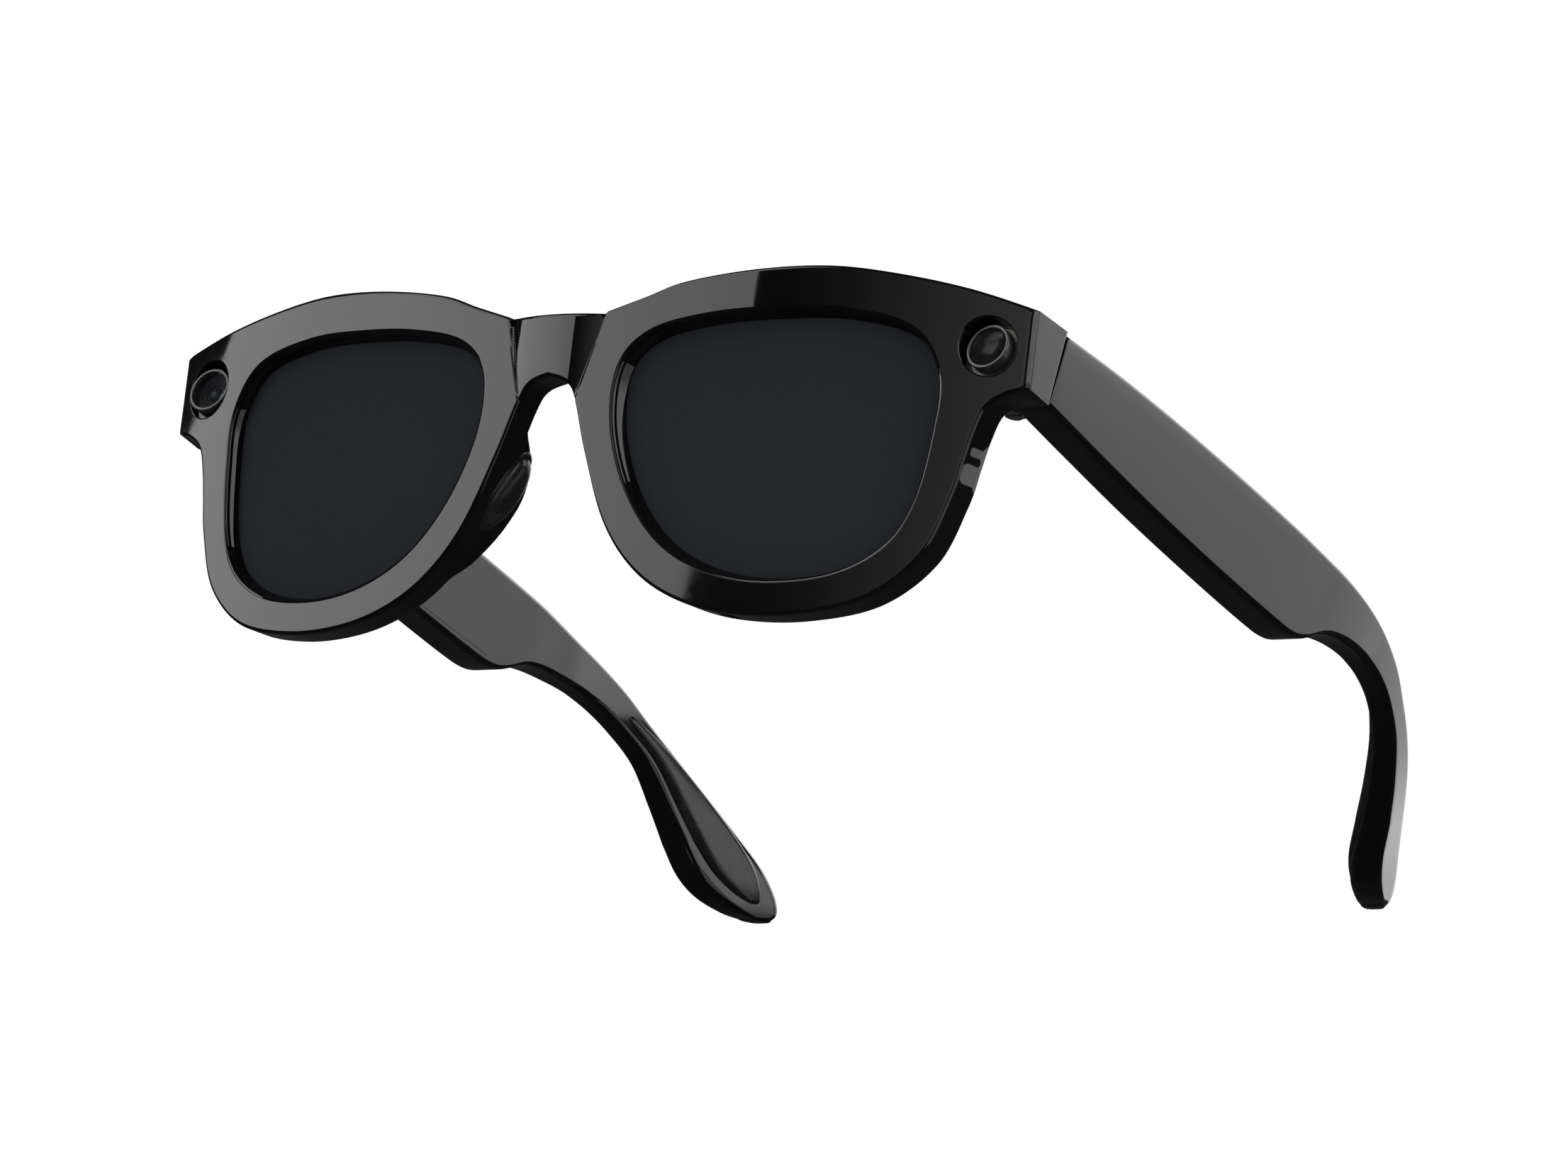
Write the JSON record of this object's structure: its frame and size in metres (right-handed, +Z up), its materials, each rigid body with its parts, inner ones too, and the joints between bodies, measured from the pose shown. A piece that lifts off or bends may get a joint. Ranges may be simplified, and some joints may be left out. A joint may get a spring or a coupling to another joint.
{
  "type": "smart glasses",
  "caption": "Folding smart glasses: bowed full-rim front with tinted lenses, a round camera window and light window in the end pieces, and thick electronics-filled temples with curved ear tips.",
  "frame": {"origin": "centre of the bounding box in X and Y, on the surface the rims and ear tips stand on", "axes": "+X to the wearer's left, +Y backward along the temples, +Z up"},
  "size_m": [0.1508, 0.1492, 0.0515],
  "materials": {
    "frame": "polished",
    "lens": "tinted, polished",
    "ring": "satin",
    "camera_glass": "coated",
    "light_glass": "frosted",
    "inner_plastic": "moulded",
    "diode": "moulded",
    "circuit": "soldered",
    "flex": "film",
    "silicone": "soft, glossy",
    "hinge_metal": "satin",
    "battery": "foil",
    "mesh": "woven",
    "core_steel": "drawn",
    "contact": "plated",
    "magnet": "plated",
    "button": "satin",
    "switch": "moulded"
  },
  "bodies": {
    "front": {"front_shell": "frame", "rear_cover": "frame", "lens_left": "lens", "lens_right": "lens", "front_flex": "flex", "camera_ring": "ring", "camera_window": "camera_glass", "camera_barrel": "inner_plastic", "camera_board": "circuit", "light_ring": "ring", "light_window": "light_glass", "light_diode": "diode", "light_board": "circuit", "nose_pad_left": "silicone", "nose_pad_right": "silicone", "end_cover_left": "frame", "end_cover_right": "frame", "hinge_base_left": "hinge_metal", "hinge_base_right": "hinge_metal", "hinge_pin_left": "hinge_metal", "hinge_pin_right": "hinge_metal", "end_cover_screws": "hinge_metal"},
    "temple_left": {"hinge_leaf_left": "hinge_metal", "temple_shell_left": "frame", "temple_cover_left": "frame", "battery_left": "battery", "board_left": "circuit", "speaker_left": "inner_plastic", "speaker_mesh_left": "mesh", "tip_pad_left": "silicone", "tip_core_left": "core_steel", "leaf_screws_left": "hinge_metal", "microphone_left": "diode"},
    "temple_right": {"hinge_leaf_right": "hinge_metal", "temple_shell_right": "frame", "temple_cover_right": "frame", "battery_right": "battery", "board_right": "circuit", "speaker_right": "inner_plastic", "speaker_mesh_right": "mesh", "tip_pad_right": "silicone", "tip_core_right": "core_steel", "leaf_screws_right": "hinge_metal", "microphone_right": "diode", "charge_contacts": "contact", "charge_magnet": "magnet", "button_switch": "switch"},
    "button": {"capture_button": "button"}
  },
  "joints": [
    {"name": "fold_left", "type": "hinge", "parent": "front", "child": "temple_left", "pos_m": [0.0666, -0.05177, 0.03849], "axis": [0, 0.1607, 0.987], "range_deg": [0, 85.5]},
    {"name": "fold_right", "type": "hinge", "parent": "front", "child": "temple_right", "pos_m": [-0.0666, -0.05177, 0.03849], "axis": [0, -0.1607, -0.987], "range_deg": [0, 68]},
    {"name": "press_capture", "type": "slide", "parent": "temple_right", "child": "button", "axis": [0, -0.1607, -0.987], "range_m": [0, 0.0005], "stiffness_N_per_m": 800}
  ]
}
